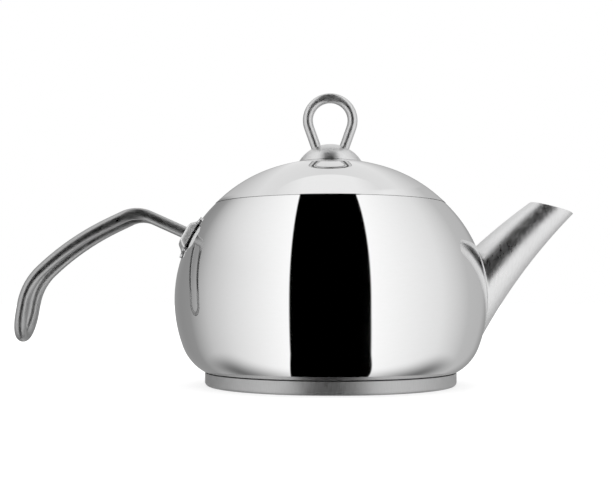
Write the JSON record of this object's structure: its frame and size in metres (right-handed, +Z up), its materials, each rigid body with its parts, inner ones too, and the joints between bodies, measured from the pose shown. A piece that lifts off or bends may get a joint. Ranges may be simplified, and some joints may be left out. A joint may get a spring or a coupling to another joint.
{
  "type": "stovetop kettle",
  "caption": "Squat mirror-polished stainless steel kettle with a short spout, an open hairpin wire handle and a lift-off lid with a wire loop knob.",
  "frame": {"origin": "centre of the flat resting face under the base", "axes": "+X towards the spout, -X towards the handle, +Z up, Y across the kettle's plane of symmetry"},
  "size_m": [0.2872, 0.16, 0.1511],
  "materials": {
    "polished_steel": "mirror polished stainless steel",
    "satin_steel": "satin stainless steel with fine turning marks",
    "pressed_steel": "softly polished pressed stainless sheet",
    "rod_steel": "polished stainless rod",
    "plain_steel": "plain stainless steel, unpolished",
    "base_aluminium": "plain aluminium"
  },
  "bodies": {
    "kettle": {"body_shell": "polished_steel", "base_core": "base_aluminium", "base_cap": "satin_steel", "spout": "polished_steel", "handle_cover": "pressed_steel", "handle_anchor": "plain_steel", "handle_rod": "rod_steel"},
    "lid": {"lid_shell": "polished_steel", "lid_collar": "plain_steel", "knob_ferrule": "polished_steel", "knob_loop": "rod_steel", "knob_washer": "plain_steel", "knob_screw": "plain_steel"}
  },
  "joints": [
    {"name": "lid_lift", "type": "slide", "parent": "kettle", "child": "lid", "axis": [0, 0, 1], "range_m": [0, 0.06]}
  ]
}
